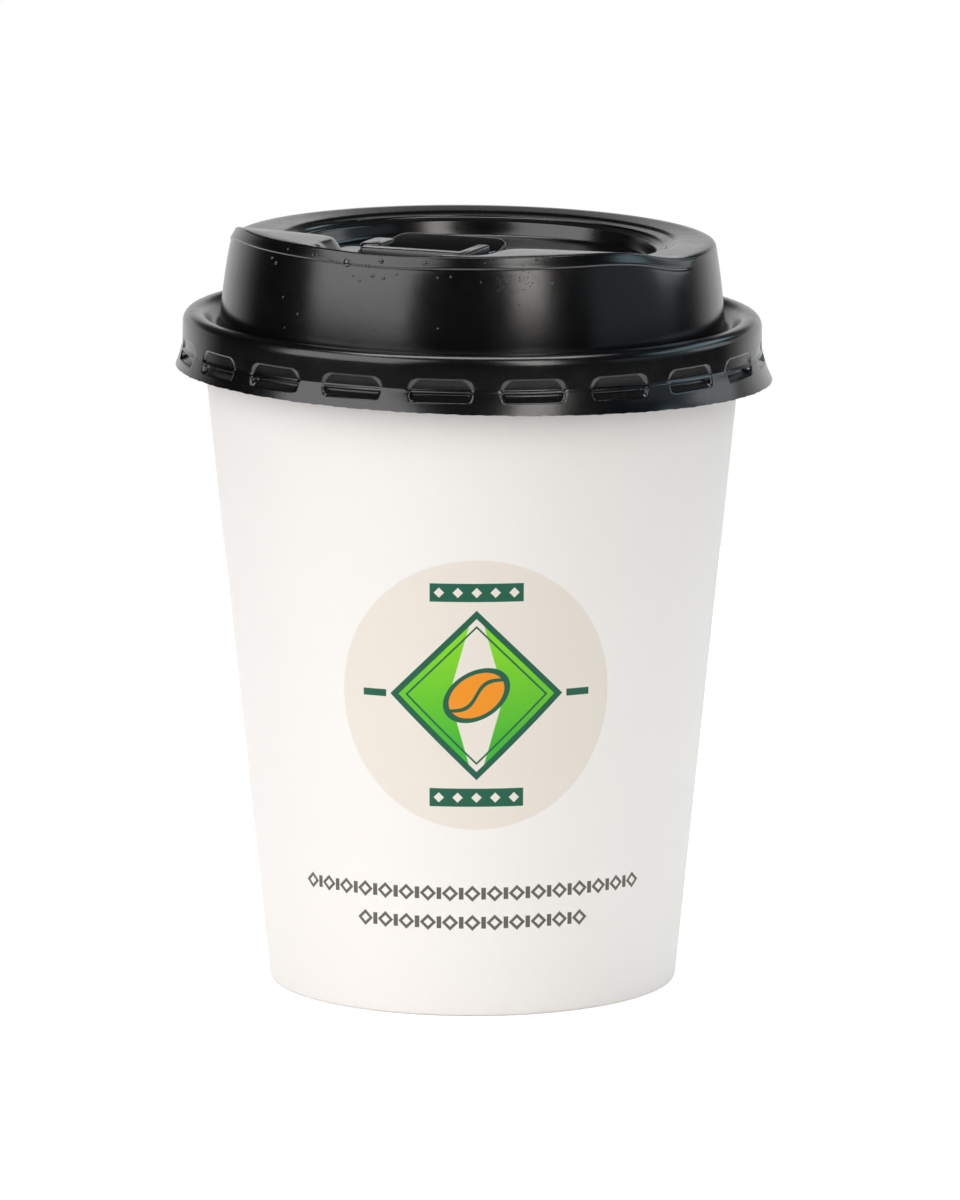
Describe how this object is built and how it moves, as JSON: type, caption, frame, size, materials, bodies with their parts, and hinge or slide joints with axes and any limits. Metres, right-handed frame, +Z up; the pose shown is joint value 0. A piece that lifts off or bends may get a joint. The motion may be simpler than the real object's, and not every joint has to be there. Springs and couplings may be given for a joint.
{
  "type": "takeaway hot drink cup with lid",
  "caption": "Tapered paper takeaway cup for a hot milky coffee, closed and full, under a dark push-on sip lid with a raised drinking lip and a lugged skirt.",
  "frame": {"origin": "centre of the cup's base ring, on the surface it stands on", "axes": "+Z up the cup's axis to the lid, -Y towards the printed side, +X to the right when the printed side is faced"},
  "size_m": [0.0839, 0.0838, 0.1074],
  "materials": {
    "cup_board": "satin coated white board with a printed disc",
    "lid_plastic": "satin black formed plastic"
  },
  "bodies": {
    "root": {"cup": "cup_board", "lid": "lid_plastic"}
  },
  "joints": []
}
